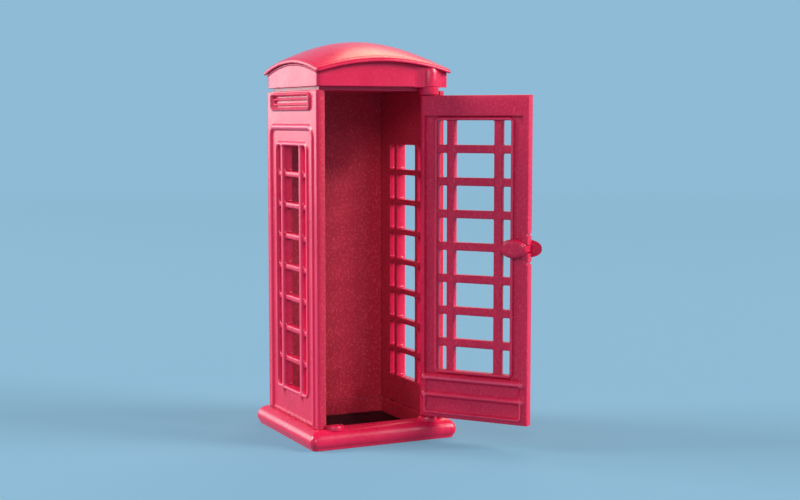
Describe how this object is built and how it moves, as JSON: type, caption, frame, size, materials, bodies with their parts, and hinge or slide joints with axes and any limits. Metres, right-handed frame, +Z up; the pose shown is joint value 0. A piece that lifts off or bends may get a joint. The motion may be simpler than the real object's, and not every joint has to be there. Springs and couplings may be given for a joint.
{
  "type": "miniature telephone booth",
  "caption": "Scale-model telephone booth: domed square kiosk on a rounded plinth, open-work window walls, and a glazing-bar door that swings on two pins.",
  "frame": {"origin": "on the ground at the centre of the square of walls, on the underside of the floor plate", "axes": "+Z up, -Y out of the doorway, +X to the right of somebody facing the doorway"},
  "size_m": [0.0179, 0.0208, 0.0342],
  "materials": {
    "red_plastic": "moulded crimson-red styrene, semi-gloss",
    "black_plastic": "black, satin"
  },
  "bodies": {
    "booth": {"base_plinth": "red_plastic", "floor_plate": "black_plastic", "left_wall": "red_plastic", "right_wall": "red_plastic", "back_wall": "red_plastic", "roof": "red_plastic"},
    "door": {"door": "red_plastic", "door_handle": "red_plastic", "lower_hinge_pin": "red_plastic", "upper_hinge_pin": "red_plastic"}
  },
  "joints": [
    {"name": "door_hinge", "type": "hinge", "parent": "booth", "child": "door", "pos_m": [0.0043, -0.0061, 0], "axis": [0, 0, 1], "range_deg": [-127, 28]}
  ]
}
